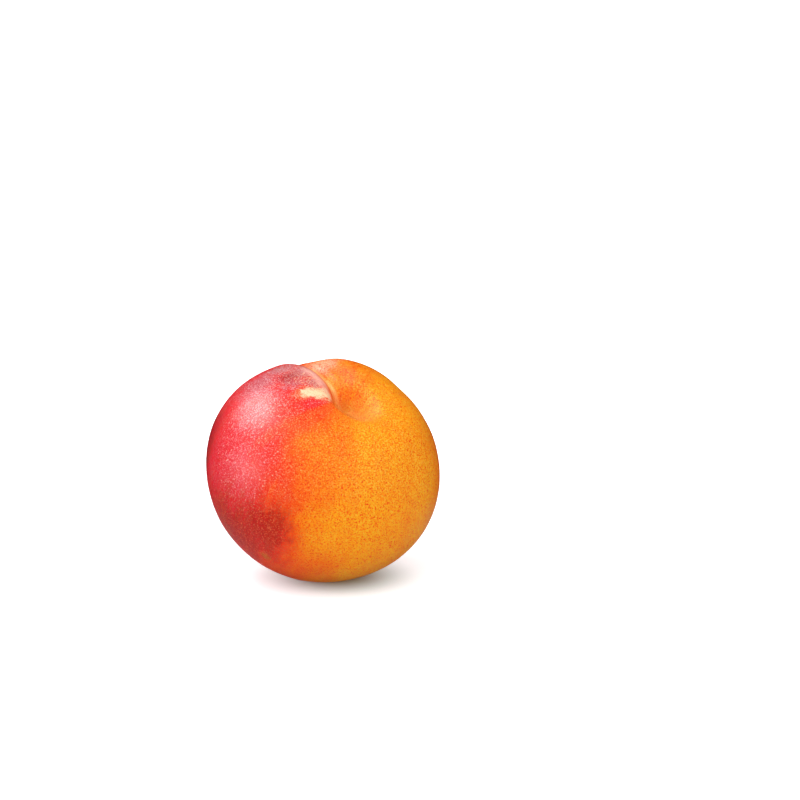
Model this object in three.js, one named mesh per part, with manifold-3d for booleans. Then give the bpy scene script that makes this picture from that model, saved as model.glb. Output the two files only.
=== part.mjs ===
// A ripe nectarine, picked without its stem and lying on a flat surface.
// It is one grown piece: skin, flesh and the stone inside it are a single solid, with nothing cut open.
// Millimetres and degrees, with +Z up. +X runs across the two cheeks and +Y points to the side with the suture.
// The fruit leans away from its suture, so its stem cavity faces forward and up.
// The origin is the centre of the small flat spot that it rests on.
import * as THREE from "three";
import { mergeVertices } from "three/addons/utils/BufferGeometryUtils.js";
import Module from "manifold-3d";

// Body, measured in the fruit's own upright pose from the level of its widest ring
const cheekWidth = 67;
const backToSuture = 66;
const shoulderRise = 26.5;
const tipDrop = 31.9;

// How far each curve of the outline runs straight on before it bends, as a share of the span that it turns through.
// A circle has 0.552.
const bellyFullness = 0.545;
const shoulderFullness = 0.595;
const tipFullness = 0.485;
const crownFullness = 0.5;

// Stem cavity: narrower across the cheeks than along the suture, and a little to one side of the middle
const cavityRimRadius = 11.5;
const cavityDepth = 9.5;
const cavityRimEase = 5;
const cavityFloorEase = 5;
const cavityNarrowing = 0.34;
const cavityNarrowingReach = 24;
const cavityAside = 1.3;
const cavityAsideReach = 26;

// The scar that the stem left on the cavity's floor: a raised corky lip round a pit
const scarRadius = 2.3;
const scarLip = 0.35;
const scarPitRadius = 1.2;
const scarPitReach = 1.7;
const scarPitDepth = 0.8;

// Blossom end: a short blunt point in a shallow dimple
const pointHeight = 1.1;
const pointReach = 2.4;
const dimpleDepth = 0.5;
const dimpleReach = 7;

// Suture: a valley, wider on its +X side, with a narrow crease along its bottom, both deepest beside the stem cavity
const valleyReachLeft = 6.8;
const valleyReachRight = 9;
const valleyDepthAtStem = 3;
const valleyDepthAtBelly = 0.6;
const creaseReach = 2.6;
const creaseDepthAtStem = 0.9;
const creaseDepthAtBelly = 0.3;
const sutureFadeRadius = 32;
const sutureSway = 0.9;

// Uneven growth: broad swellings and hollows, each round a direction seen from the middle of the fruit
const swells = [
  { toward: [-0.62, 0.76, 0.19], reach: 22, rise: 0.5 },
  { toward: [0.42, 0.42, 0.8], reach: 16, rise: 1.2 },
  { toward: [0.55, -0.75, -0.2], reach: 24, rise: 0.5 },
  { toward: [-0.5, -0.8, 0.3], reach: 20, rise: -0.3 },
  { toward: [0.85, -0.1, 0.35], reach: 20, rise: -0.3 },
  { toward: [0.1, 0.6, -0.75], reach: 20, rise: 0.3 },
];

// How it lies
const lean = 29.5;
const restTrim = 0.75;

// Fineness of the faceted surface. Its meridians stand closer together by the suture than at the back.
const meridians = 92;
const meridianGathering = 0.45;
const lowerRings = 19;
const upperRings = 15;
const cavityRings = 12;

// 1 in the middle of a soft mark and 0 at its reach and beyond, with no edge at either
function soft(distance, reach) {
  const share = Math.min(Math.abs(distance) / reach, 1);
  return (1 - share * share) ** 2;
}

// Half of the fruit's outline, turned from the blossom end up the outside and down into the stem cavity
function outline() {
  const belly = cheekWidth / 2;
  const floor = shoulderRise - cavityDepth;
  const crown = belly - cavityRimRadius;
  const point = (x, y) => new THREE.Vector2(x, y);
  const lower = new THREE.CubicBezierCurve(
    point(0, -tipDrop),
    point(belly * tipFullness, -tipDrop),
    point(belly, -tipDrop * bellyFullness),
    point(belly, 0),
  );
  const upper = new THREE.CubicBezierCurve(
    point(belly, 0),
    point(belly, shoulderRise * shoulderFullness),
    point(cavityRimRadius + crown * crownFullness, shoulderRise),
    point(cavityRimRadius, shoulderRise),
  );
  const cavity = new THREE.CubicBezierCurve(
    point(cavityRimRadius, shoulderRise),
    point(cavityRimRadius - cavityRimEase, shoulderRise),
    point(cavityFloorEase, floor),
    point(0, floor),
  );
  const points = lower.getPoints(lowerRings);
  points.push(...upper.getPoints(upperRings).slice(1));
  points.push(...cavity.getPoints(cavityRings).slice(1));
  return points;
}

// A closed, merged surface of revolution about +Z, with its meridians gathered towards +Y, and then squeezed and
// shifted about the stem cavity
function turned(points) {
  const lathe = new THREE.LatheGeometry(points, meridians);
  lathe.rotateX(Math.PI / 2);
  lathe.deleteAttribute("normal");
  lathe.deleteAttribute("uv");
  const body = mergeVertices(lathe, 1e-3);
  const place = body.getAttribute("position");
  for (let i = 0; i < place.count; i++) {
    const radius = Math.hypot(place.getX(i), place.getY(i));
    const fromSuture = Math.atan2(place.getX(i), place.getY(i));
    const gathered = fromSuture - meridianGathering * Math.sin(fromSuture);
    const above = place.getZ(i) > 0 ? 1 : 0;
    const width = 1 - above * cavityNarrowing * soft(radius, cavityNarrowingReach);
    const aside = above * cavityAside * soft(radius, cavityAsideReach);
    place.setX(i, radius * Math.sin(gathered) * width + aside);
    place.setY(i, (radius * Math.cos(gathered) * backToSuture) / cheekWidth);
  }
  return body;
}

// The suture at a place on the plain turned shape: its depth there, and how near the stem it is, from 0 to 1.
// It runs down the +Y side, swaying a little, and fades out on the floor of the cavity.
function suture(place) {
  const fromStem = Math.hypot(place.x - cavityAside, place.y);
  const towardStem = THREE.MathUtils.clamp(place.z / shoulderRise, -1, 1);
  const above = THREE.MathUtils.smoothstep(place.z, 0, 8);
  const near = above * (1 - THREE.MathUtils.smoothstep(fromStem, cavityRimRadius, sutureFadeRadius));
  const middle = cavityAside * near + sutureSway * Math.sin(towardStem * Math.PI);
  const aside = place.x - middle;
  const side = THREE.MathUtils.smoothstep(place.y, 1, inCavity(place) ? cavityRimRadius : 8);
  const valley = THREE.MathUtils.lerp(valleyDepthAtBelly, valleyDepthAtStem, near);
  const crease = THREE.MathUtils.lerp(creaseDepthAtBelly, creaseDepthAtStem, near);
  const reach = aside > 0 ? valleyReachRight : valleyReachLeft;
  return { near, depth: side * (valley * soft(aside, reach) + crease * soft(aside, creaseReach)) };
}

function inCavity(place) {
  const fromStem = Math.hypot(place.x - cavityAside, place.y);
  return place.z > shoulderRise - cavityDepth - 1 && fromStem < cavityRimRadius;
}

// How far everything but the suture stands out from the plain turned shape at a place on it
function relief(place) {
  const fromTip = Math.hypot(place.x, place.y);
  const fromStem = Math.hypot(place.x - cavityAside, place.y);
  let out = 0;
  if (inCavity(place)) {
    out += scarLip * soft(fromStem - scarRadius, scarRadius - scarPitRadius);
    out -= scarPitDepth * soft(fromStem, scarPitReach);
  }
  if (place.z < 0) {
    out += pointHeight * soft(fromTip, pointReach);
    out -= dimpleDepth * soft(fromTip, dimpleReach);
  }
  for (const { toward, reach, rise } of swells) {
    const middle = new THREE.Vector3(...toward).setLength(cheekWidth / 2);
    out += rise * soft(place.distanceTo(middle), reach);
  }
  return out;
}

// The turned shape, with its relief raised along the normals of the plain surface. The suture is sunk along them
// too, but straight down beside the stem, so that it runs over the cavity's rim without a step.
function grown(body) {
  body.computeVertexNormals();
  const place = body.getAttribute("position");
  const normal = body.getAttribute("normal");
  for (let i = 0; i < place.count; i++) {
    const at = new THREE.Vector3().fromBufferAttribute(place, i);
    const out = new THREE.Vector3().fromBufferAttribute(normal, i);
    const { near, depth } = suture(at);
    const down = out.clone().lerp(new THREE.Vector3(0, 0, 1), near).normalize();
    at.addScaledVector(out, relief(at)).addScaledVector(down, -depth);
    place.setXYZ(i, at.x, at.y, at.z);
  }
  body.deleteAttribute("normal");
  return body;
}

const wasm = await Module();
wasm.setup();

function solidOf(geometry) {
  const merged = mergeVertices(geometry, 1e-3);
  return new wasm.Manifold(
    new wasm.Mesh({
      numProp: 3,
      vertProperties: merged.getAttribute("position").array,
      triVerts: new Uint32Array(merged.index.array),
    }),
  );
}

function geometryOf(solid) {
  const mesh = solid.getMesh();
  const geometry = new THREE.BufferGeometry();
  geometry.setAttribute("position", new THREE.BufferAttribute(mesh.vertProperties, 3));
  geometry.setIndex(new THREE.BufferAttribute(mesh.triVerts, 1));
  return geometry;
}

// Leans the fruit, sets it down on z = 0 and takes off what lies below, which leaves the flat spot
function setDown(body) {
  body.rotateX(THREE.MathUtils.degToRad(lean));
  body.computeBoundingBox();
  body.translate(0, 0, -body.boundingBox.min.z - restTrim);
  const block = new THREE.BoxGeometry(cheekWidth, cheekWidth, 10).translate(0, 0, -5);
  block.deleteAttribute("normal");
  block.deleteAttribute("uv");
  const resting = geometryOf(solidOf(body).subtract(solidOf(block)));
  const spot = new THREE.Box3();
  const place = resting.getAttribute("position");
  for (let i = 0; i < place.count; i++) {
    const at = new THREE.Vector3().fromBufferAttribute(place, i);
    if (at.z < 1e-4) spot.expandByPoint(at);
  }
  const middle = spot.getCenter(new THREE.Vector3());
  return resting.translate(-middle.x, -middle.y, 0);
}

const skin = new THREE.MeshStandardMaterial({ color: 0xd9502a, roughness: 0.48, metalness: 0 });
const nectarine = new THREE.Mesh(setDown(grown(turned(outline()))), skin);
nectarine.name = "nectarine";

const part = new THREE.Group();
part.add(nectarine);

export default part;
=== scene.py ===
import math

import bpy
import numpy as np
from mathutils import Matrix, Vector, noise


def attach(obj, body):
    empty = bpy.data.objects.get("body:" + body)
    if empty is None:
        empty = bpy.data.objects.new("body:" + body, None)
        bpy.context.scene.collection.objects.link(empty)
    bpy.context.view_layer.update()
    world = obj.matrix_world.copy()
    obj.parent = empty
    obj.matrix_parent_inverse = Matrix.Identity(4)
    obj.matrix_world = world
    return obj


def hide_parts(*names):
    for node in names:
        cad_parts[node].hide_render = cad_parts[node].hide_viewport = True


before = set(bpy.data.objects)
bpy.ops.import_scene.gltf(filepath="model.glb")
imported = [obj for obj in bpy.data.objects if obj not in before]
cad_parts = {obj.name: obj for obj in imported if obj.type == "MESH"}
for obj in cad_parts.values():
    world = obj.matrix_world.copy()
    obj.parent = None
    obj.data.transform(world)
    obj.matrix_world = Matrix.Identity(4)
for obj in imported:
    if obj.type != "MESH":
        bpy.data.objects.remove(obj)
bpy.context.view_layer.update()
bpy.ops.object.select_all(action="DESELECT")
print("frame loaded")

mm = 0.001

# The fruit in its own upright pose, in millimetres and degrees, from the level of its widest ring.
# +Z is its stem end, +Y its suture and +X runs across the two cheeks.
fruitShape = {
    "cheekWidth": 67,
    "backToSuture": 66,
    "shoulderRise": 26.5,
    "tipDrop": 31.9,
    # how far each curve of the outline runs straight on before it bends, where a circle has 0.552
    "bellyFullness": 0.545,
    "shoulderFullness": 0.595,
    "tipFullness": 0.485,
    "crownFullness": 0.5,
    # stem cavity, whose relief reaches a little below the level of its floor
    "rimRadius": 11.5,
    "cavityDepth": 9.5,
    "floorSlack": 1,
    "rimEase": 5,
    "floorEase": 5,
    "narrowing": 0.34,
    "narrowingReach": 24,
    "aside": 1.3,
    "asideReach": 26,
    # pleats on its wall: depth, the distances from the stem between which they rise and fade, and the
    # scale of their noise around the wall and along it
    "pleatDepth": 0.1,
    "pleatRise": (1.5, 4),
    "pleatFade": (6, 14.5),
    "pleatsAround": 6,
    "pleatsAlong": 0.12,
    # the scar that the stem left
    "scarRadius": 2.3,
    "scarLip": 0.35,
    "scarPitRadius": 1.2,
    "scarPitReach": 1.7,
    "scarPitDepth": 0.8,
    "scarReach": 3.5,
    "scarRoughness": 0.16,
    "scarGrain": 0.45,
    # blossom end
    "pointHeight": 1.1,
    "pointReach": 2.4,
    "dimpleDepth": 0.5,
    "dimpleReach": 7,
    # suture: a valley with a crease along its bottom
    "valleyReachLeft": 6.8,
    "valleyReachRight": 9,
    "valleyDepthAtStem": 3,
    "valleyDepthAtBelly": 0.6,
    "creaseReach": 2.6,
    "creaseDepthAtStem": 0.9,
    "creaseDepthAtBelly": 0.3,
    "sutureSway": 0.9,
    # it deepens over this height above the widest ring, and towards the stem from this radius
    "sutureRamp": 8,
    "sutureFadeRadius": 32,
    # it starts here on the suture's side and is full there, or else at the rim, with a blend across the rim
    "sideFrom": 1,
    "sideFull": 8,
    "rimBlend": 4,
    # broad swellings and hollows: the direction from the middle, the reach and the rise
    "swells": [
        ((-0.62, 0.76, 0.19), 22, 0.8),
        ((0.42, 0.42, 0.8), 16, 1.2),
        ((0.55, -0.75, -0.2), 24, 0.5),
        ((-0.5, -0.8, 0.3), 20, -0.3),
        ((0.85, -0.1, 0.35), 20, -0.3),
        ((0.1, 0.6, -0.75), 20, 0.3),
    ],
    # small lumps all over, as height and size
    "lumpHeight": 0.3,
    "lumpSize": 13,
    # how it lies, and the width of the rim of faces around its flat spot
    "lean": 29.5,
    "restTrim": 0.75,
    "spotRim": 0.4,
    # fineness, with the meridians standing closer by the suture
    "pointsPerCurve": 56,
    "meridians": 420,
    "gathering": 0.45,
    # distances below which points are welded, and below which a height counts as none
    "weldReach": 0.01,
    "flatWithin": 0.001,
}


# 1 in the middle of a soft mark and 0 at its reach and beyond
def soft(distance, reach):
    share = np.minimum(np.abs(distance) / reach, 1)
    return (1 - share * share) ** 2


def easeBetween(value, low, high):
    share = np.clip((value - low) / (high - low), 0, 1)
    return share * share * (3 - 2 * share)


def readPlaces(mesh):
    numbers = np.empty(len(mesh.vertices) * 3, np.float32)
    mesh.vertices.foreach_get("co", numbers)
    return numbers.reshape(-1, 3).astype(float) / mm


def readNormals(mesh):
    numbers = np.empty(len(mesh.vertices) * 3, np.float32)
    mesh.vertex_normals.foreach_get("vector", numbers)
    return numbers.reshape(-1, 3).astype(float)


def writePlaces(mesh, places):
    mesh.vertices.foreach_set("co", (places * mm).astype(np.float32).ravel())
    mesh.update()


def cavityFloor():
    return fruitShape["shoulderRise"] - fruitShape["cavityDepth"]


# Half of the outline, drawn as a curve from the blossom end up the outside and down into the stem cavity
def drawOutline():
    belly = fruitShape["cheekWidth"] / 2
    rise, drop, rim = fruitShape["shoulderRise"], fruitShape["tipDrop"], fruitShape["rimRadius"]
    floor = cavityFloor()
    crown = rim + (belly - rim) * fruitShape["crownFullness"]
    under, over = -drop * fruitShape["bellyFullness"], rise * fruitShape["shoulderFullness"]
    knots = [  # radius and height of each knot, its handle before and its handle after
        ((0, -drop), (0, -drop), (belly * fruitShape["tipFullness"], -drop)),
        ((belly, 0), (belly, under), (belly, over)),
        ((rim, rise), (crown, rise), (rim - fruitShape["rimEase"], rise)),
        ((0, floor), (fruitShape["floorEase"], floor), (0, floor)),
    ]
    bpy.ops.curve.primitive_bezier_curve_add(location=(0, 0, 0))
    outline = bpy.context.object
    spline = outline.data.splines[0]
    spline.bezier_points.add(len(knots) - 2)
    for point, knot in zip(spline.bezier_points, knots):
        point.handle_left_type = point.handle_right_type = "FREE"
        places = [Vector((radius * mm, 0, height * mm)) for radius, height in knot]
        point.co, point.handle_left, point.handle_right = places
    spline.resolution_u = fruitShape["pointsPerCurve"]
    bpy.ops.object.convert(target="MESH")
    return bpy.context.object


def spinOutline():
    steps = fruitShape["meridians"]
    bpy.ops.object.mode_set(mode="EDIT")
    bpy.ops.mesh.select_all(action="SELECT")
    bpy.ops.mesh.spin(steps=steps, angle=2 * math.pi, center=(0, 0, 0), axis=(0, 0, 1))
    bpy.ops.mesh.select_all(action="SELECT")
    bpy.ops.mesh.remove_doubles(threshold=fruitShape["weldReach"] * mm)
    bpy.ops.mesh.normals_make_consistent(inside=False)
    bpy.ops.object.mode_set(mode="OBJECT")


# Gathers the meridians towards the suture, then squeezes and shifts the shape about the stem cavity
def gatherMeridians(mesh):
    places = readPlaces(mesh)
    radius = np.hypot(places[:, 0], places[:, 1])
    angle = np.arctan2(places[:, 0], places[:, 1])
    angle -= fruitShape["gathering"] * np.sin(angle)
    above = (places[:, 2] > 0).astype(float)
    width = 1 - above * fruitShape["narrowing"] * soft(radius, fruitShape["narrowingReach"])
    aside = above * fruitShape["aside"] * soft(radius, fruitShape["asideReach"])
    places[:, 0] = radius * np.sin(angle) * width + aside
    places[:, 1] = radius * np.cos(angle) * fruitShape["backToSuture"] / fruitShape["cheekWidth"]
    writePlaces(mesh, places)


def fromStem(places):
    return np.hypot(places[:, 0] - fruitShape["aside"], places[:, 1])


def inCavity(places):
    high = places[:, 2] > cavityFloor() - fruitShape["floorSlack"]
    return high & (fromStem(places) < fruitShape["rimRadius"])


# How near each place is to the stem, how far it lies aside of the suture, how much of the suture's side
# it has, and how deep the suture is there
def sutureAt(places):
    x, y, z = places.T
    rim, blend, sideFull = fruitShape["rimRadius"], fruitShape["rimBlend"], fruitShape["sideFull"]
    stemRadius = fromStem(places)
    high = easeBetween(z, 0, fruitShape["sutureRamp"])
    near = high * (1 - easeBetween(stemRadius, rim, fruitShape["sutureFadeRadius"]))
    towardStem = np.clip(z / fruitShape["shoulderRise"], -1, 1)
    aside = x - fruitShape["aside"] * near - fruitShape["sutureSway"] * np.sin(towardStem * math.pi)
    within = 1 - easeBetween(stemRadius, rim - blend, rim + blend)
    side = easeBetween(y, fruitShape["sideFrom"], sideFull + (rim - sideFull) * within * high)
    valley = fruitShape["valleyDepthAtBelly"] * (1 - near) + fruitShape["valleyDepthAtStem"] * near
    crease = fruitShape["creaseDepthAtBelly"] * (1 - near) + fruitShape["creaseDepthAtStem"] * near
    reach = np.where(aside > 0, fruitShape["valleyReachRight"], fruitShape["valleyReachLeft"])
    depth = side * (valley * soft(aside, reach) + crease * soft(aside, fruitShape["creaseReach"]))
    return near, aside, side, depth


def noiseAt(places, size):
    return np.array([noise.noise(Vector(place / size)) for place in places])


# The scar's lip and pit, the blossom end and the broad swellings
def mainRelief(places, cavity, stemRadius):
    lipReach = fruitShape["scarRadius"] - fruitShape["scarPitRadius"]
    lip = fruitShape["scarLip"] * soft(stemRadius - fruitShape["scarRadius"], lipReach)
    pit = fruitShape["scarPitDepth"] * soft(stemRadius, fruitShape["scarPitReach"])
    out = np.where(cavity, lip, 0) - np.where(cavity, pit, 0)
    low = places[:, 2] < 0
    tipRadius = np.hypot(places[:, 0], places[:, 1])
    out += np.where(low, fruitShape["pointHeight"] * soft(tipRadius, fruitShape["pointReach"]), 0)
    out -= np.where(low, fruitShape["dimpleDepth"] * soft(tipRadius, fruitShape["dimpleReach"]), 0)
    for toward, reach, rise in fruitShape["swells"]:
        middle = np.array(toward) / np.linalg.norm(toward) * fruitShape["cheekWidth"] / 2
        out += rise * soft(np.linalg.norm(places - middle, axis=1), reach)
    return out


# How far everything but the suture stands out from the plain turned shape
def reliefAt(places):
    cavity, stemRadius = inCavity(places), fromStem(places)
    out = mainRelief(places, cavity, stemRadius)
    # the scar is corky
    scar = np.where(cavity, soft(stemRadius, fruitShape["scarReach"]), 0)
    corky = scar > 0
    grain = noiseAt(places[corky], fruitShape["scarGrain"])
    out[corky] += fruitShape["scarRoughness"] * (scar[corky] * grain)
    # fine pleats run from it up the cavity's wall
    around = np.arctan2(places[:, 0] - fruitShape["aside"], places[:, 1])
    turns, along = fruitShape["pleatsAround"], fruitShape["pleatsAlong"]
    ray = np.stack([np.cos(around) * turns, np.sin(around) * turns, stemRadius * along], axis=1)
    fade = easeBetween(stemRadius, *fruitShape["pleatFade"])
    wall = easeBetween(stemRadius, *fruitShape["pleatRise"]) * (1 - fade)
    pleated = (wall > 0) & (places[:, 2] > 0)
    out[pleated] += fruitShape["pleatDepth"] * wall[pleated] * noiseAt(ray[pleated], 1)
    return out


# Raises the relief along the normals and sinks the suture, which goes straight down beside the stem
def growFruit(mesh):
    places, normals = readPlaces(mesh), readNormals(mesh)
    near, aside, side, depth = sutureAt(places)
    down = normals * (1 - near[:, None]) + np.array([0, 0, 1]) * near[:, None]
    down /= np.linalg.norm(down, axis=1, keepdims=True)
    for name, values in (("sutureAside", aside), ("sutureSide", side), ("nearStem", near)):
        attribute = mesh.attributes.new(name, "FLOAT", "POINT")
        attribute.data.foreach_set("value", values.astype(np.float32))
    writePlaces(mesh, places + normals * reliefAt(places)[:, None] - down * depth[:, None])


def addLumps(fruit):
    clouds = bpy.data.textures.new("skinLumps", "CLOUDS")
    clouds.noise_scale = fruitShape["lumpSize"] * mm
    lumps = fruit.modifiers.new("lumps", "DISPLACE")
    lumps.texture = clouds
    lumps.texture_coords = "LOCAL"
    lumps.strength = fruitShape["lumpHeight"] * mm
    lumps.mid_level = 0.5
    bpy.ops.object.modifier_apply(modifier=lumps.name)


# Cuts the fruit level with the floor, and sets a narrow rim of faces inside the edge of the cut
def cutFlatSpot(mesh):
    bpy.ops.object.mode_set(mode="EDIT")
    bpy.ops.mesh.select_all(action="SELECT")
    floor = {"plane_co": (0, 0, 0), "plane_no": (0, 0, 1)}
    bpy.ops.mesh.bisect(threshold=1e-6, use_fill=True, clear_inner=True, **floor)
    bpy.ops.mesh.select_all(action="DESELECT")
    bpy.ops.object.mode_set(mode="OBJECT")
    for face in mesh.polygons:
        onFloor = abs(face.center.z) < fruitShape["weldReach"] * mm
        face.select = onFloor and face.normal.z < -0.999
    bpy.ops.object.mode_set(mode="EDIT")
    bpy.ops.mesh.select_mode(type="FACE")
    bpy.ops.mesh.inset(thickness=fruitShape["spotRim"] * mm, depth=0)
    bpy.ops.object.mode_set(mode="OBJECT")


# Leans the fruit, sets it down on its flat spot and puts the middle of that at the origin
def layDown(mesh):
    mesh.transform(Matrix.Rotation(math.radians(fruitShape["lean"]), 4, "X"))
    lowest = readPlaces(mesh)[:, 2].min() + fruitShape["restTrim"]
    mesh.transform(Matrix.Translation((0, 0, -lowest * mm)))
    cutFlatSpot(mesh)
    places = readPlaces(mesh)
    spot = places[places[:, 2] < fruitShape["flatWithin"]]
    middle = (spot.min(axis=0) + spot.max(axis=0)) / 2
    print("flat spot", np.round(spot.max(axis=0) - spot.min(axis=0), 2))
    mesh.transform(Matrix.Translation((-middle[0] * mm, -middle[1] * mm, 0)))
    return Vector((-middle[0], -middle[1], -lowest)) * mm


fruit = drawOutline()
fruit.name = fruit.data.name = "nectarineFruit"
spinOutline()
gatherMeridians(fruit.data)
growFruit(fruit.data)
addLumps(fruit)
fruitPlace = layDown(fruit.data)
bpy.ops.object.shade_smooth()
print("fruit modelled:", len(fruit.data.vertices), "vertices,", len(fruit.data.polygons), "faces")


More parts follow.
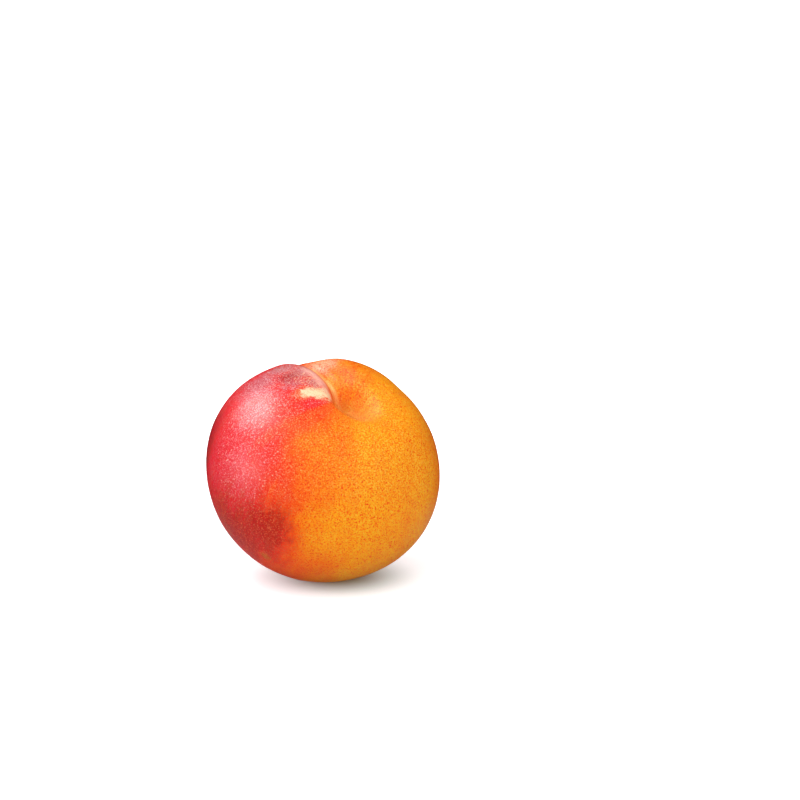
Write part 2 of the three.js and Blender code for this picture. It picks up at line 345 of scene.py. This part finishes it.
# The skin's colours, and where they lie on the upright fruit: millimetres from its middle, as in its shape
skinLook = {
    # noises: the size of their features in millimetres, how many finer layers they have, and how strong
    # those are
    "blotches": (9, 4.0, 0.6),
    "stipple": (0.42, 2.0, 0.6),
    "grain": (0.42, 1.5, 0.6),
    "shoves": (2.4, 4.0, 0.62),
    # streaks, with the scale of their noise around the fruit and along its meridians
    "streaks": (1.0, 4.5, 0.7),
    "streaksAround": 3.6,
    "streaksAlong": 0.035,
    # the blush spreads from one cheek, and its edge is drawn out along the meridians and stippled
    "blushToward": (-0.7, 0.67, -0.18),
    "blushRange": (-0.4, 0.64),
    "blushNoises": [("streaks", 0.68), ("blotches", 0.4), ("stipple", 0.42)],
    "groundToBlush": [
        (0.0, "F09408"),
        (0.18, "EE7E00"),
        (0.42, "EC5E00"),
        (0.62, "E84210"),
        (0.8, "E2281C"),
        (1.0, "DC182C"),
    ],
    # where the blush is stronger or weaker than that: by how much, the middle and the reach
    "blushSpots": [
        (0.18, (-13, 3, 25), (12, 12, 12)),
        (-0.2, (-20, -9, 22), (9, 9, 10)),
        (-0.26, (-20, -26, 3), (12, 9, 14)),
        (0.26, (-11, 1, 26), (7, 4, 6)),
        (-0.32, (7, 18, 22), (10, 9, 9)),
        (-0.3, (1.5, 11, 22.8), (6, 6, 6)),
        (-0.4, (5, 22.5, 21), (8, 7, 7)),
        (0.16, (-28, -16, -4), (12, 11, 13)),
        (0.5, (32, -12, 6), (24, 26, 30)),
        (0.36, (29, -15, -14), (22, 26, 24)),
        (0.3, (32, 10, -8), (20, 20, 26)),
        (0.3, (14, -2, -28), (20, 20, 14)),
    ],
    # marks: name, colour, strength, how ragged the edge is in millimetres, how flecked and how sharp it is,
    # and the middle and the reach of each of its spots
    "marks": [
        # deep red with ember flecks on the lower left, darkened further as painted shade on the side that
        # faces the floor
        ("maroonAndPaintedShade", "A60400", 0.9, 7, 2.4, 0.0, [
            ((-30, -7, -12), (20, 21, 19)),
            ((-29, -15, -2), (14, 13, 13)),
        ]),
        # deep red on the left cheek, darkened as painted shade along its rim
        ("deepCheekAndRimShade", "980414", 0.9, 4, 0.8, 0.0, [
            ((-27, 22, -5), (14, 15, 24)),
        ]),
        # painted sheen: pale mauve on the top of the left lobe, which faces up and away
        ("mauvePaintedSheenSide", "BE5A66", 0.85, 3, 1.0, 0.0, [
            ((-18, 18, 20.6), (13, 10, 10)),
            ((-13, 11.5, 24.6), (7, 4.6, 6)),
        ]),
        # painted sheen: paler mauve on the shoulder beside the suture
        ("mauvePaintedSheenShoulder", "C07478", 0.88, 3, 1.0, 0.0, [
            ((-7.5, 15, 25.2), (8, 9, 8)),
            ((-9, 20, 22.5), (9, 7, 7)),
            ((-7.2, 9.2, 26.4), (6, 5.5, 6)),
        ]),
        ("duskyPatch", "98162E", 0.75, 2, 0.9, 0.0, [
            ((-11.6, 14.8, 24.6), (6, 4.6, 5.2)),
        ]),
        # pale peach on the top of the far lobe, partly a painted highlight
        ("peachLobeAndHighlight", "FFB09A", 0.6, 2, 0.6, 0.0, [
            ((4.6, 19.8, 22.4), (9, 7.5, 7)),
        ]),
        ("peachHalo", "F08A50", 0.5, 2, 0.8, 0.0, [
            ((-13, 6.2, 25.8), (5, 3.6, 5)),
        ]),
        ("creamPatch", "F6D6AA", 0.95, 3, 0.6, 0.1, [
            ((-11, 6, 26), (4, 3.2, 4)),
            ((-9.4, 5, 26.4), (4.6, 4.2, 5)),
            ((-8.2, 4.1, 26.5), (5, 4.4, 5)),
            ((-6.6, 3.7, 26.2), (4.4, 3.8, 5)),
            ((-4.8, 4.6, 25), (3.6, 3.3, 5)),
        ]),
        ("greenFreckle", "A87818", 0.5, 1, 0.5, 0.0, [
            ((-25.5, -15.5, -13.5), (3.2, 2.8, 2.8)),
        ]),
        # a painted highlight: pale pink haze where the overhead light shines on the upper left cheek
        ("paintedHighlightHaze", "F6A4A8", 0.3, 3, 0.5, 0.0, [
            ((-24, 10, 19), (12, 10, 12)),
        ]),
    ],
    # how much the grain lightens and darkens red, green and blue, and how much less on the cream patch
    "grainShare": (0.6, 4.2, 4.8),
    "creamCalm": 0.85,
    # bands along the suture wander by this many millimetres and are full within this share of their reach
    "sutureWander": 2.5,
    "bandCore": 0.2,
    # the yellow along its bottom, with its reach at the belly and beside the stem, and its strength by how
    # near the stem is and by flecks
    "sutureYellow": "FFCC84",
    "yellowAside": -1.0,
    "yellowReach": (1.2, 1.7),
    "yellowByStem": (0.1, 0.95, 0.1, 0.95),
    "yellowByFlecks": (-0.3, 0.1, 0.45, 1.0),
    # the pale lip along its left lobe, a painted highlight where the lobe's edge turns away, which shows
    # only beside the stem
    "lip": "FCC4B6",
    "lipHighlightAside": -5.3,
    "lipReach": 3.1,
    "lipHighlightShare": 0.8,
    "lipByStem": (0.6, 0.95),
    "lipByFlecks": (-0.25, 0.15, 0.6, 1.0),
    # spots in the stem cavity: height above its floor and reach
    "floorSpot": (2, (7.5, 9.5, 8)),
    "scarSpot": (0, (4.8, 4.8, 4.8)),
    "pitSpot": (0, (2.4, 2.4, 2.4)),
    "dullSpot": (7, (17, 19, 14)),
    "cavityFloor": "D88A30",
    "floorStreaks": 0.5,
    "floorShare": 0.8,
    "scar": "9A7040",
    "scarStipple": 0.6,
    "scarEdge": (0.3, 0.65),
    "scarPit": "4A2E1A",
    "pitStipple": 1.2,
    "pitShare": 0.9,
    # blossom end
    "tipHalo": "E9B044",
    "haloReach": (9, 9, 9),
    "haloShare": 0.6,
    "tipDot": "3E2616",
    "dotDrop": 0.8,
    "dotReach": (1.5, 1.5, 1.5),
    "dotEdge": (0.25, 0.6),
    # pale grain on the ground and on the blush, partly a painted sheen, with the range of noise that it
    # fills, and its strength
    "paleGrain": ("FFC070", "FFC6C4", 0.0, 0.28, 0.44),
    "grainTintByBlush": (0.6, 1.0),
    # grain on the dark red of the lower left, which is partly painted shade: colour, range of noise and
    # strength
    "emberGrain": ("F05C28", 0.0, 0.2, 0.66),
    # painted sheen: the pale grain by the height of a place above the middle, stronger high up where the
    # light falls, and where it is weaker or stronger than that
    "paintedSheenHeights": (-9, 11, 0.35, 0.85),
    "paintedSheenSpots": [
        (-0.8, (-28, 20, 0), (14, 17, 26)),
        (1.3, (-24, 7, 19.5), (16, 13, 14)),
        (0.4, (-33, 0, 7), (10, 10, 10)),
        (1.0, (-8, 14, 25), (12, 10, 8)),
        (0.9, (-17, 18, 20), (10, 9, 9)),
        (0.8, (-7, 9, 26.5), (7, 6, 7)),
    ],
    # fine specks: colour, cell size in millimetres, dot size as a share of it, and strength
    "paleSpecks": ("FFC4B4", 0.72, 0.44, 0.5),
    "sparsePaleSpecks": ("FFD9C4", 1.9, 0.19, 0.36),
    "redSpecks": ("BC2206", 0.7, 0.46, 0.5),
    # the pale ones' strength by blush and painted sheen, how much less they are on the dark red and painted
    # shade, and their tint
    "paleByBlush": (0.2, 0.8, 0.15, 1.0),
    "paleByPaintedSheen": (0.3, 0.7, 0.2, 1.0),
    "paleOffMaroonAndShade": 0.6,
    "paleTintByBlush": (0.5, 0.95),
    "redByBlush": (0.9, 0.2, 0.2, 1.0),
    "redShift": (7, 3, 5),
    # finish, with how much duller the scar and the cavity are
    "roughness": 0.38,
    "roughnessSpread": 0.12,
    "scarDullness": 0.35,
    "cavityDullness": 0.3,
    "bumpDistance": 0.08,
    "speckHeight": 0.5,
    "gloss": 0.15,
}


def tint(code):
    channels = [int(code[i:i + 2], 16) / 255 for i in (0, 2, 4)]
    linear = [c / 12.92 if c <= 0.04045 else ((c + 0.055) / 1.055) ** 2.4 for c in channels]
    return (*linear, 1)


# Feeds a socket from another socket, or gives it a plain value
def feed(tree, socket, source):
    if isinstance(source, bpy.types.NodeSocket):
        tree.links.new(source, socket)
    else:
        socket.default_value = source


def addNode(tree, kind, **settings):
    node = tree.nodes.new("ShaderNode" + kind)
    for name, value in settings.items():
        setattr(node, name, value)
    return node


def calc(tree, operation, first, second=0.0, clamp=False):
    node = addNode(tree, "Math", operation=operation, use_clamp=clamp)
    feed(tree, node.inputs[0], first)
    feed(tree, node.inputs[1], second)
    return node.outputs[0]


def plus(tree, first, *others):
    for other in others:
        first = calc(tree, "ADD", first, other)
    return first


def times(tree, first, *others):
    for other in others:
        first = calc(tree, "MULTIPLY", first, other)
    return first


# 1 where a value is 0, and 0 where it is 1
def without(tree, value):
    return calc(tree, "SUBTRACT", 1.0, value)


def clamped(tree, value):
    return calc(tree, "ADD", value, 0.0, clamp=True)


def calcVector(tree, operation, first, second=(0, 0, 0)):
    node = addNode(tree, "VectorMath", operation=operation)
    feed(tree, node.inputs[0], first)
    feed(tree, node.inputs["Scale" if operation == "SCALE" else 1], second)
    return node.outputs["Value" if operation in ("LENGTH", "DOT_PRODUCT") else "Vector"]


def remap(tree, value, fromLow, fromHigh, toLow=0.0, toHigh=1.0, smooth=True):
    node = addNode(tree, "MapRange", interpolation_type="SMOOTHSTEP" if smooth else "LINEAR")
    names = ("Value", "From Min", "From Max", "To Min", "To Max")
    for name, source in zip(names, (value, fromLow, fromHigh, toLow, toHigh)):
        feed(tree, node.inputs[name], source)
    return node.outputs[0]


# Lays one colour over another by a mask
def overlay(tree, mask, below, above, mode="MIX"):
    node = addNode(tree, "Mix", data_type="RGBA", blend_type=mode)
    feed(tree, node.inputs[0], mask)
    feed(tree, node.inputs[6], below)
    feed(tree, node.inputs[7], above)
    return node.outputs[2]


def addNoise(tree, place, size, detail, roughness):
    node = addNode(tree, "TexNoise")
    feed(tree, node.inputs["Vector"], place)
    node.inputs["Scale"].default_value = 1 / size
    node.inputs["Detail"].default_value = detail
    node.inputs["Roughness"].default_value = roughness
    return node.outputs


# Noise about 0, from -0.5 to 0.5
def mottle(tree, place, size, detail, roughness):
    return calc(tree, "SUBTRACT", addNoise(tree, place, size, detail, roughness)["Fac"], 0.5)


def newGroup(name, inputs):
    group = bpy.data.node_groups.new(name, "ShaderNodeTree")
    for label, kind in inputs:
        group.interface.new_socket(label, in_out="INPUT", socket_type="NodeSocket" + kind)
    group.interface.new_socket("Mask", in_out="OUTPUT", socket_type="NodeSocketFloat")
    return group, group.nodes.new("NodeGroupInput"), group.nodes.new("NodeGroupOutput")


def useGroup(tree, group, **values):
    node = addNode(tree, "Group", node_tree=group)
    for name, value in values.items():
        feed(tree, node.inputs[name], value)
    return node.outputs[0]


# A soft oval spot: 1 at its centre and 0 at its reach
def buildSoftSpot():
    inputs = [("Place", "Vector"), ("Centre", "Vector"), ("Reach", "Vector")]
    group, given, result = newGroup("softSpot", inputs)
    away = calcVector(group, "SUBTRACT", given.outputs["Place"], given.outputs["Centre"])
    share = calcVector(group, "LENGTH", calcVector(group, "DIVIDE", away, given.outputs["Reach"]))
    feed(group, result.inputs[0], remap(group, share, 1.0, 0.0))
    return group


# Round dots, one in each cell and each of its own size and strength
def buildSpeckle():
    smallest, faintest, core = 0.35, 0.3, 0.35
    inputs = [("Place", "Vector"), ("Cell", "Float"), ("Dot", "Float")]
    group, given, result = newGroup("speckle", inputs)
    cells = addNode(group, "TexVoronoi", feature="F1")
    feed(group, cells.inputs["Vector"], given.outputs["Place"])
    feed(group, cells.inputs["Scale"], calc(group, "DIVIDE", 1.0, given.outputs["Cell"]))
    chance = addNode(group, "SeparateColor")
    feed(group, chance.inputs[0], cells.outputs["Color"])
    size = remap(group, chance.outputs[0], 0.0, 1.0, smallest, 1.0)
    size = times(group, size, given.outputs["Dot"])
    dots = remap(group, cells.outputs["Distance"], size, times(group, size, core))
    strength = remap(group, chance.outputs[1], 0.0, 1.0, faintest, 1.0)
    feed(group, result.inputs[0], times(group, dots, strength))
    return group


softSpot = buildSoftSpot()
speckle = buildSpeckle()


def spotMask(tree, place, centre, reach):
    return useGroup(tree, softSpot, Place=place, Centre=centre, Reach=reach)


# The strongest of several soft spots
def spotsMask(tree, place, spots):
    mask, *others = [spotMask(tree, place, centre, reach) for centre, reach in spots]
    for other in others:
        mask = calc(tree, "MAXIMUM", mask, other)
    return mask


# A value raised or lowered at several soft spots
def addSpots(tree, value, place, spots):
    for amount, centre, reach in spots:
        value = plus(tree, value, times(tree, spotMask(tree, place, centre, reach), amount))
    return value


def cavitySpot(tree, own, name):
    above, reach = skinLook[name]
    return spotMask(tree, own, (fruitShape["aside"], 0, cavityFloor() + above), reach)


# The upright fruit's own coordinates in millimetres
def ownPlaces(tree, place, lean):
    upright = addNode(tree, "Mapping", vector_type="TEXTURE")
    feed(tree, upright.inputs["Vector"], addNode(tree, "TexCoord").outputs["Object"])
    upright.inputs["Location"].default_value = place
    upright.inputs["Rotation"].default_value = (math.radians(lean), 0, 0)
    upright.inputs["Scale"].default_value = (mm, mm, mm)
    return upright.outputs[0]


# Noise drawn out along the meridians, noises of several sizes, and one that shifts places so that edges
# are ragged
def addNoises(tree, own):
    around = calcVector(tree, "NORMALIZE", calcVector(tree, "MULTIPLY", own, (1, 1, 0)))
    around = calcVector(tree, "SCALE", around, skinLook["streaksAround"])
    along = calcVector(tree, "SCALE", own, skinLook["streaksAlong"])
    noises = {"streaks": mottle(tree, calcVector(tree, "ADD", around, along), *skinLook["streaks"])}
    for name in ("blotches", "stipple", "grain"):
        noises[name] = mottle(tree, own, *skinLook[name])
    noises["flecks"] = plus(tree, noises["streaks"], noises["stipple"])
    shoves = addNoise(tree, own, *skinLook["shoves"])["Color"]
    noises["shift"] = calcVector(tree, "SUBTRACT", shoves, (0.5, 0.5, 0.5))
    return noises


# How far the blush covers the ground, and the colour that this gives
def paintBlush(tree, own, noises):
    direction = calcVector(tree, "NORMALIZE", own)
    toward = calcVector(tree, "DOT_PRODUCT", direction, skinLook["blushToward"])
    blush = remap(tree, toward, *skinLook["blushRange"], smooth=False)
    blush = addSpots(tree, blush, own, skinLook["blushSpots"])
    for name, share in skinLook["blushNoises"]:
        blush = plus(tree, blush, times(tree, noises[name], share))
    blush = clamped(tree, blush)
    ramp = addNode(tree, "ValToRGB")
    stops = skinLook["groundToBlush"]
    while len(ramp.color_ramp.elements) < len(stops):
        ramp.color_ramp.elements.new(0.5)
    for element, (at, code) in zip(ramp.color_ramp.elements, stops):
        element.position = at
        element.color = tint(code)
    feed(tree, ramp.inputs[0], blush)
    return blush, ramp.outputs[0]


def paintMarks(tree, own, noises, colour):
    masks = {}
    for name, code, strength, ragged, flecked, sharp, spots in skinLook["marks"]:
        shift = calcVector(tree, "SCALE", noises["shift"], ragged * 2.0)
        spot = spotsMask(tree, calcVector(tree, "ADD", own, shift), spots)
        # flecks break up its edge, where the spot is half strong, and leave its middle
        edge = times(tree, spot, without(tree, spot), 4.0)
        broken = plus(tree, spot, times(tree, edge, noises["flecks"], flecked))
        half = 0.5 * (1 - sharp)
        mask = remap(tree, broken, 0.5 - half, 0.5 + half, 0.0, strength)
        uneven = plus(tree, times(tree, noises["stipple"], flecked), 1.0)
        masks[name] = clamped(tree, times(tree, mask, uneven))
        colour = overlay(tree, masks[name], colour, tint(code))
    return colour, masks


# Lightens and darkens a colour by the grain
def shadeGrain(tree, grain, creamPatch, colour):
    grained = times(tree, grain, without(tree, times(tree, creamPatch, skinLook["creamCalm"])))
    change = calcVector(tree, "SCALE", skinLook["grainShare"], grained)
    return overlay(tree, 1.0, colour, calcVector(tree, "ADD", change, (1, 1, 1)), "MULTIPLY")


# The pale lip beside the suture, a painted highlight, and the yellow along its bottom
def paintSuture(tree, noises, colour):
    names = ("sutureAside", "sutureSide", "nearStem")
    attributes = [addNode(tree, "Attribute", attribute_name=name) for name in names]
    aside, side, near = [attribute.outputs["Fac"] for attribute in attributes]
    wander = plus(tree, aside, times(tree, noises["blotches"], skinLook["sutureWander"]))

    def band(middle, reach):
        offset = calc(tree, "ABSOLUTE", calc(tree, "SUBTRACT", wander, middle))
        share = calc(tree, "DIVIDE", offset, reach)
        return times(tree, remap(tree, share, 1.0, skinLook["bandCore"]), side)

    def limits(key):
        byStem = remap(tree, near, *skinLook[key + "ByStem"])
        return times(tree, byStem, remap(tree, noises["flecks"], *skinLook[key + "ByFlecks"]))

    # the pale lip is a painted highlight along the edge of the left lobe
    lip = times(tree, band(skinLook["lipHighlightAside"], skinLook["lipReach"]), limits("lip"))
    colour = overlay(tree, times(tree, lip, skinLook["lipHighlightShare"]), colour, tint(skinLook["lip"]))
    reach = remap(tree, near, 0.0, 1.0, *skinLook["yellowReach"], smooth=False)
    yellow = times(tree, band(times(tree, near, skinLook["yellowAside"]), reach), limits("yellow"))
    return overlay(tree, yellow, colour, tint(skinLook["sutureYellow"]))


# The cavity's floor, and on it the scar with its pit
def paintCavity(tree, own, noises, colour):
    floor = cavitySpot(tree, own, "floorSpot")
    floor = clamped(tree, plus(tree, floor, times(tree, noises["streaks"], skinLook["floorStreaks"])))
    floor = times(tree, floor, skinLook["floorShare"])
    colour = overlay(tree, floor, colour, tint(skinLook["cavityFloor"]))
    scar = cavitySpot(tree, own, "scarSpot")
    scar = plus(tree, scar, times(tree, noises["stipple"], skinLook["scarStipple"]))
    scar = remap(tree, scar, *skinLook["scarEdge"])
    colour = overlay(tree, scar, colour, tint(skinLook["scar"]))
    pit = cavitySpot(tree, own, "pitSpot")
    pit = clamped(tree, plus(tree, pit, times(tree, noises["stipple"], skinLook["pitStipple"])))
    pit = times(tree, pit, skinLook["pitShare"])
    return overlay(tree, pit, colour, tint(skinLook["scarPit"])), scar


# The blossom end: a yellow halo around a dark dot
def paintTip(tree, own, colour):
    tipZ = -fruitShape["tipDrop"]
    halo = spotMask(tree, own, (0, 0, tipZ), skinLook["haloReach"])
    halo = times(tree, halo, skinLook["haloShare"])
    colour = overlay(tree, halo, colour, tint(skinLook["tipHalo"]))
    dot = spotMask(tree, own, (0, 0, tipZ - skinLook["dotDrop"]), skinLook["dotReach"])
    return overlay(tree, remap(tree, dot, *skinLook["dotEdge"]), colour, tint(skinLook["tipDot"]))


# Painted sheen: where the pale grain and the pale specks are strong, high on the fruit as it lies where the
# light falls, and at some spots, the painted highlights among them
def spreadPaintedSheen(tree, own, lean):
    skyward = (0, math.sin(math.radians(lean)), math.cos(math.radians(lean)))
    height = calcVector(tree, "DOT_PRODUCT", own, skyward)
    paintedSheen = remap(tree, height, *skinLook["paintedSheenHeights"])
    return calc(tree, "MAXIMUM", addSpots(tree, paintedSheen, own, skinLook["paintedSheenSpots"]), 0.0)


# Pale grain like fine hair, partly a painted sheen, and ember grain on the dark red that is partly painted
# shade
def paintGrain(tree, grain, blush, paintedSheen, maroonAndShade, colour):
    onGround, onBlush, low, high, strength = skinLook["paleGrain"]
    toBlush = remap(tree, blush, *skinLook["grainTintByBlush"])
    grainTint = overlay(tree, toBlush, tint(onGround), tint(onBlush))
    pale = times(tree, remap(tree, grain, low, high), paintedSheen, strength)
    colour = overlay(tree, pale, colour, grainTint)
    code, low, high, strength = skinLook["emberGrain"]
    ember = times(tree, remap(tree, grain, low, high), maroonAndShade, strength)
    return overlay(tree, ember, colour, tint(code))


# Pale specks on the blush and red ones on the ground
def paintSpecks(tree, own, blush, paintedSheen, maroonAndShade, colour):
    share = remap(tree, blush, *skinLook["paleByBlush"])
    share = times(tree, share, remap(tree, paintedSheen, *skinLook["paleByPaintedSheen"]))
    share = times(tree, share, without(tree, times(tree, maroonAndShade, skinLook["paleOffMaroonAndShade"])))
    toBlush = remap(tree, blush, *skinLook["paleTintByBlush"])
    onGround = skinLook["paleGrain"][0]
    pale = []
    for key in ("paleSpecks", "sparsePaleSpecks"):
        code, cell, size, strength = skinLook[key]
        dots = useGroup(tree, speckle, Place=own, Cell=cell, Dot=size)
        pale.append(dots)
        speckTint = overlay(tree, toBlush, tint(onGround), tint(code))
        colour = overlay(tree, times(tree, dots, share, strength), colour, speckTint)
    code, cell, size, strength = skinLook["redSpecks"]
    shifted = calcVector(tree, "ADD", own, skinLook["redShift"])
    dots = useGroup(tree, speckle, Place=shifted, Cell=cell, Dot=size)
    red = times(tree, dots, remap(tree, blush, *skinLook["redByBlush"]), strength)
    return overlay(tree, red, colour, tint(code)), pale[0]


# Gloss, roughness, and a bump from the stipple and the fine pale specks
def finishSkin(tree, shader, own, noises, scar, specks):
    rough = plus(tree, noises["blotches"], noises["stipple"])
    rough = plus(tree, times(tree, rough, skinLook["roughnessSpread"]), skinLook["roughness"])
    rough = plus(tree, rough, times(tree, scar, skinLook["scarDullness"]))
    rough = plus(tree, rough, times(tree, cavitySpot(tree, own, "dullSpot"), skinLook["cavityDullness"]))
    feed(tree, shader.inputs["Roughness"], clamped(tree, rough))
    height = plus(tree, noises["stipple"], times(tree, specks, skinLook["speckHeight"]))
    bump = addNode(tree, "Bump")
    bump.inputs["Strength"].default_value = 1
    bump.inputs["Distance"].default_value = skinLook["bumpDistance"] * mm
    feed(tree, bump.inputs["Height"], height)
    feed(tree, shader.inputs["Normal"], bump.outputs[0])
    shader.inputs["Specular IOR Level"].default_value = skinLook["gloss"]


def paintSkin(place, lean):
    skin = bpy.data.materials.new("blushedSkin")
    skin.use_nodes = True
    tree = skin.node_tree
    shader = tree.nodes["Principled BSDF"]
    own = ownPlaces(tree, place, lean)
    noises = addNoises(tree, own)
    blush, colour = paintBlush(tree, own, noises)
    colour, masks = paintMarks(tree, own, noises, colour)
    grain, maroonAndShade = noises["grain"], masks["maroonAndPaintedShade"]
    colour = shadeGrain(tree, grain, masks["creamPatch"], colour)
    colour = paintSuture(tree, noises, colour)
    colour, scar = paintCavity(tree, own, noises, colour)
    colour = paintTip(tree, own, colour)
    paintedSheen = spreadPaintedSheen(tree, own, lean)
    colour = paintGrain(tree, grain, blush, paintedSheen, maroonAndShade, colour)
    colour, specks = paintSpecks(tree, own, blush, paintedSheen, maroonAndShade, colour)
    feed(tree, shader.inputs["Base Color"], colour)
    finishSkin(tree, shader, own, noises, scar, specks)
    return skin


fruit.data.materials.clear()
fruit.data.materials.append(paintSkin(fruitPlace, fruitShape["lean"]))
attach(fruit, "root")
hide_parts("nectarine")
print("skin painted")


# Floor, lights and camera, in millimetres and degrees, apart from the floor's and the lights' sizes and
# distances in metres. Directions are as the camera sees them: to its right, up and away from it.
studio = {
    "floorSize": 6,
    "floorWhiteness": 0.8,
    # by the distance from the glow's middle: from, to and strength
    "glowMiddle": (5, -2),
    "floorGlow": [(3, 26, 0.6), (60, 200, 0.3)],
    "underGlow": (12, 50, 0.2),
    "coolTint": (0.68, 0.92, 1.0, 1),
    "coolReach": (8, 36),
    # how bright the fruit sees the paper, in its shade and in its gloss
    "bounceShare": 0.85,
    "mirrorShare": 0.45,
    "mirrorReach": (30, 110),
    "skyInFront": 1.6,
    "skyBehind": 0.28,
    "skyTurn": (-0.9, 0.5),
    "lights": [  # name, direction, distance, width, height, power, and whether it only gives a sheen
        ("overheadBox", (-0.4, 0.9, -0.1), 0.9, 0.55, 0.45, 4.0, False),
        ("overheadSheen", (-0.62, 0.78, 0.0), 0.9, 0.5, 0.38, 10.4, True),
        ("sideSheen", (-1.0, 0.05, -0.2), 0.8, 0.34, 0.34, 6.2, True),
    ],
    "azimuth": -37.5,
    "elevation": 14,
    "distance": 769.6,
    "middle": (0, 0.234, 31),
    "besideMiddle": 22.2,
    "aboveMiddle": 19.8,
    "lens": 121.5,
    "clipStart": 10,
}

turn, tilt = math.radians(studio["azimuth"]), math.radians(studio["elevation"])
toRight = Vector((math.cos(turn), math.sin(turn), 0))
ahead = Vector((-math.sin(turn), math.cos(turn), 0))
away = ahead * math.cos(tilt) - Vector((0, 0, math.sin(tilt)))
upward = toRight.cross(away)
middle = Vector(studio["middle"]) * mm


# White paper that glows a little away from the fruit, so that it stays white there
def layFloor():
    bpy.ops.mesh.primitive_plane_add(size=studio["floorSize"], location=(0, 0, 0))
    floor = bpy.context.object
    floor.name = "studioFloor"
    paper = bpy.data.materials.new("palePaper")
    paper.use_nodes = True
    tree = paper.node_tree
    shader = tree.nodes["Principled BSDF"]
    ray = addNode(tree, "LightPath").outputs
    right, forth = studio["glowMiddle"]
    glowMiddle = (toRight * right + ahead * forth) * mm
    place = addNode(tree, "TexCoord").outputs["Object"]
    distance = calcVector(tree, "LENGTH", calcVector(tree, "SUBTRACT", place, glowMiddle))
    distance = calc(tree, "DIVIDE", distance, mm)
    glow = 0.0
    for low, high, strength in studio["floorGlow"]:
        glow = plus(tree, glow, remap(tree, distance, low, high, 0.0, strength))
    under = remap(tree, distance, *studio["underGlow"], 0.0)
    glow = plus(tree, times(tree, glow, ray["Is Camera Ray"]), times(tree, under, ray["Is Diffuse Ray"]))
    # what the fruit sees of the paper is dimmer than what the camera sees
    bounced = remap(tree, ray["Is Diffuse Ray"], 0.0, 1.0, 1.0, studio["bounceShare"], smooth=False)
    mirrored = remap(tree, distance, *studio["mirrorReach"], studio["mirrorShare"], 0.0)
    mirrored = remap(tree, ray["Is Glossy Ray"], 0.0, 1.0, 1.0, mirrored, smooth=False)
    white = times(tree, bounced, mirrored, studio["floorWhiteness"])
    # a cool tint beside the fruit keeps the shadow neutral under the red light that the fruit throws back
    toPlain = remap(tree, distance, *studio["coolReach"])
    paperTint = overlay(tree, toPlain, studio["coolTint"], (1, 1, 1, 1))
    feed(tree, shader.inputs["Base Color"], calcVector(tree, "SCALE", paperTint, white))
    shader.inputs["Roughness"].default_value = 1
    shader.inputs["Specular IOR Level"].default_value = 0
    shader.inputs["Emission Color"].default_value = (1, 1, 1, 1)
    feed(tree, shader.inputs["Emission Strength"], glow)
    floor.data.materials.append(paper)


# A white sky, brighter on the camera's side
def hangSky():
    world = bpy.data.worlds.new("studioSky")
    world.use_nodes = True
    tree = world.node_tree
    background = tree.nodes["Background"]
    coordinates = addNode(tree, "TexCoord")
    facing = calcVector(tree, "DOT_PRODUCT", coordinates.outputs["Generated"], away)
    strength = remap(tree, facing, *studio["skyTurn"], studio["skyInFront"], studio["skyBehind"])
    background.inputs["Color"].default_value = (1, 1, 1, 1)
    feed(tree, background.inputs["Strength"], strength)
    world.cycles_visibility.glossy = False
    bpy.context.scene.world = world


def placeLights():
    for name, (right, up, forth), distance, width, height, power, sheenOnly in studio["lights"]:
        direction = (toRight * right + upward * up + away * forth).normalized()
        bpy.ops.object.light_add(type="AREA", location=middle + direction * distance)
        lamp = bpy.context.object
        lamp.name = name
        lamp.rotation_euler = direction.to_track_quat("Z", "Y").to_euler()
        lamp.data.shape = "RECTANGLE"
        lamp.data.size, lamp.data.size_y = width, height
        lamp.data.energy = power
        lamp.visible_diffuse = not sheenOnly


def placeCamera():
    eye = middle - away * studio["distance"] * mm
    aim = middle + (toRight * studio["besideMiddle"] + upward * studio["aboveMiddle"]) * mm
    bpy.ops.object.camera_add(location=eye)
    camera = bpy.context.object
    camera.name = "studioCamera"
    camera.rotation_euler = (aim - eye).to_track_quat("-Z", "Y").to_euler()
    camera.data.lens = studio["lens"]
    camera.data.clip_start = studio["clipStart"] * mm
    bpy.context.scene.camera = camera


layFloor()
hangSky()
placeLights()
placeCamera()
bpy.context.scene.view_settings.view_transform = "Standard"
print("studio set")
